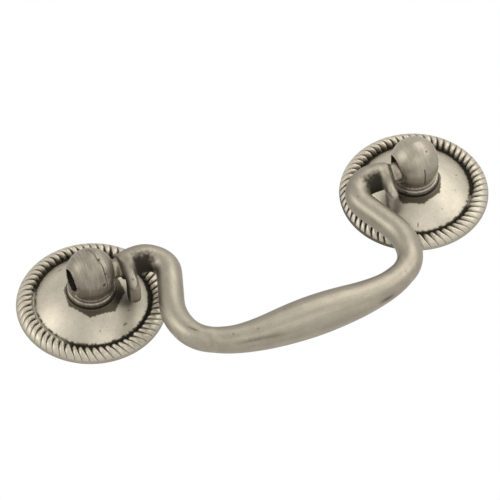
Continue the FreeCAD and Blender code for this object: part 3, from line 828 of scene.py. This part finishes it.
def metal(name, pewter, streaks, streak_share, speckle_share=0.35):
    """Brushed antique pewter: fine speckle, streaks along the brushing, dark where it wasn't buffed.

    The points' fields say where: patina is the dark finish left in recesses, and painted shade on the
    bail's shoulder faces; tone is dull pewter, and on the posts and the bail also painted shade and painted
    highlights; patch is the bare patch round a collar, and upright turns the streaks along the legs.
    """
    material = bpy.data.materials.new(name)
    material.use_nodes = True
    tree = material.node_tree
    link = tree.links.new
    shader = tree.nodes["Principled BSDF"]
    shader.inputs["Metallic"].default_value = 1.0
    place = tree.nodes.new("ShaderNodeTexCoord")

    def field(name):
        made = tree.nodes.new("ShaderNodeAttribute")
        made.attribute_name = name
        return made.outputs["Fac"]

    def grain(scale, detail):
        mapping = node_of(tree, "ShaderNodeMapping", Scale=scale)
        link(place.outputs["Object"], mapping.inputs["Vector"])
        made = node_of(tree, "ShaderNodeTexNoise", Scale=1.0, Detail=detail, Roughness=0.6)
        link(mapping.outputs["Vector"], made.inputs["Vector"])
        return made.outputs["Fac"]

    def blend(factor, first, second):
        made = tree.nodes.new("ShaderNodeMix")
        made.data_type = "RGBA"
        for socket, value in (("Factor", factor), ("A", first), ("B", second)):
            if isinstance(value, (tuple, float)):
                made.inputs[socket].default_value = value
            else:
                link(value, made.inputs[socket])
        return made.outputs["Result"]

    def ranged(value, low, high, to_low, to_high):
        made = node_of(tree, "ShaderNodeMapRange",
                       **{"From Min": low, "From Max": high, "To Min": to_low, "To Max": to_high})
        link(value, made.inputs["Value"])
        return made.outputs["Result"]

    speckle = grain(SPECKLE_SCALE, 2.0)
    cloud = grain(CLOUD_SCALE, 3.0)
    streak = blend(field("upright"), grain(streaks, 4.0), grain(streaks[::-1], 4.0))
    colour = blend(field("tone_and_shade"), pewter, DULL_AND_SHADED_PEWTER)
    colour = blend(ranged(streak, 0.3, 0.7, 0.0, streak_share), colour, DULL_AND_SHADED_PEWTER)
    colour = blend(ranged(speckle, 0.5, 0.75, 0.0, speckle_share), colour, DULL_AND_SHADED_PEWTER)
    colour = blend(ranged(cloud, 0.4, 0.7, 0.0, CLOUD_SHARE), colour, DULL_AND_SHADED_PEWTER)
    colour = blend(field("patch"), colour, BARE_PATCH)
    colour = blend(field("patina_and_shade"), colour, PATINA_AND_SHADE)
    link(colour, shader.inputs["Base Color"])
    roughness = ranged(field("patina_and_shade"), 0.0, 1.0, BUFFED_ROUGHNESS, PATINA_ROUGHNESS)
    link(roughness, shader.inputs["Roughness"])
    bump = node_of(tree, "ShaderNodeBump", Strength=BUMP_STRENGTH, Distance=BUMP_DISTANCE)
    link(math_node(tree, "ADD", speckle, streak), bump.inputs["Height"])
    link(bump.outputs["Normal"], shader.inputs["Normal"])
    return material


# ---- stage ----

def make_camera():
    data = bpy.data.cameras.new("camera")
    data.lens = CAMERA_LENS
    data.sensor_width = CAMERA_SENSOR
    data.clip_start, data.clip_end = CAMERA_CLIP
    camera = bpy.data.objects.new("camera", data)
    bpy.context.scene.collection.objects.link(camera)
    level = math.cos(CAMERA_ELEVATION)
    back = Vector((math.sin(CAMERA_AZIMUTH) * level, -math.cos(CAMERA_AZIMUTH) * level,
                   math.sin(CAMERA_ELEVATION)))
    camera.location = CAMERA_TARGET + back * CAMERA_DISTANCE
    camera.rotation_mode = "QUATERNION"
    camera.rotation_quaternion = (-back).to_track_quat("-Z", "Y") @ Quaternion((0, 0, 1), CAMERA_ROLL)
    bpy.context.scene.camera = camera
    return camera


def make_lamps(camera):
    turn = camera.rotation_quaternion.to_matrix()
    for name, direction, distance, size, power in LAMPS:
        data = bpy.data.lights.new(name, "AREA")
        data.shape = "DISK"
        data.size = size
        data.energy = power
        lamp = bpy.data.objects.new(name, data)
        lamp.location = turn @ Vector(direction).normalized() * distance
        lamp.rotation_mode = "QUATERNION"
        lamp.rotation_quaternion = (LAMP_AIM - lamp.location).to_track_quat("-Z", "Y")
        bpy.context.scene.collection.objects.link(lamp)


def make_world():
    """Dim to diffuse rays, and white to the camera and to what shines or lets light through."""
    world = bpy.data.worlds.new("studio")
    bpy.context.scene.world = world
    world.use_nodes = True
    tree = world.node_tree
    tree.nodes.clear()
    link = tree.links.new
    rays = tree.nodes.new("ShaderNodeLightPath").outputs
    seen = math_node(tree, "MAXIMUM", rays["Is Camera Ray"], rays["Is Glossy Ray"])
    seen = math_node(tree, "MAXIMUM", seen, rays["Is Transmission Ray"])
    light = node_of(tree, "ShaderNodeBackground", Color=WHITE, Strength=WORLD_LIGHT)
    white = node_of(tree, "ShaderNodeBackground", Color=WHITE, Strength=1.0)
    mix = tree.nodes.new("ShaderNodeMixShader")
    for socket, value in zip(mix.inputs, (seen, light.outputs[0], white.outputs[0])):
        link(value, socket)
    link(mix.outputs[0], tree.nodes.new("ShaderNodeOutputWorld").inputs["Surface"])


def make_floor():
    """A pale floor well below the pull, which metal sees as white."""
    mesh = bpy.data.meshes.new("floor")
    square = ((-1, -1), (1, -1), (1, 1), (-1, 1))
    corners = [(x * FLOOR_HALF, y * FLOOR_HALF, FLOOR_HEIGHT) for x, y in square]
    mesh.from_pydata(corners, [], [(0, 1, 2, 3)])
    floor = bpy.data.objects.new("floor", mesh)
    bpy.context.scene.collection.objects.link(floor)
    material = bpy.data.materials.new("floor")
    material.use_nodes = True
    tree = material.node_tree
    shader = tree.nodes["Principled BSDF"]
    shader.inputs["Base Color"].default_value = FLOOR_COLOUR
    shader.inputs["Roughness"].default_value = FLOOR_ROUGHNESS
    white = node_of(tree, "ShaderNodeEmission", Color=WHITE, Strength=1.0)
    rays = tree.nodes.new("ShaderNodeLightPath").outputs
    seen = math_node(tree, "MULTIPLY_ADD", rays["Is Camera Ray"], FLOOR_PALE, rays["Is Glossy Ray"])
    mix = tree.nodes.new("ShaderNodeMixShader")
    for socket, value in zip(mix.inputs, (seen, shader.outputs[0], white.outputs[0])):
        tree.links.new(value, socket)
    tree.links.new(mix.outputs[0], tree.nodes["Material Output"].inputs["Surface"])
    mesh.materials.append(material)


camera = make_camera()
# The rosettes take the lighter copy of the pewter, which is painted light on the domes.
rosette_lit_finish = metal("rosette_lit_pewter", ROSETTE_LIT_PEWTER, ROSETTE_STREAKS, 0.12, 0.25)
post_finish = {
    "left": metal("post_left_pewter", LEFT_POST_PEWTER, LEFT_POST_STREAKS, 0.9),
    "right": metal("post_right_pewter", RIGHT_POST_PEWTER, RIGHT_POST_STREAKS, 0.4),
}
bail_finish = metal("bail_pewter", BAIL_PEWTER, BAIL_STREAKS, 0.4)
for side in SIDES:
    piece_of("rosette_" + side + "_cast", rosette_mesh(side), "base", "rosette_" + side,
             rosette_lit_finish)
    piece_of("post_" + side + "_cast", post_mesh(side), "base", "post_" + side,
             post_finish[side])
piece_of("bail_cast", bail_mesh(), "bail", "bail", bail_finish)
make_lamps(camera)
make_world()
make_floor()
bpy.context.scene.view_settings.view_transform = "Standard"
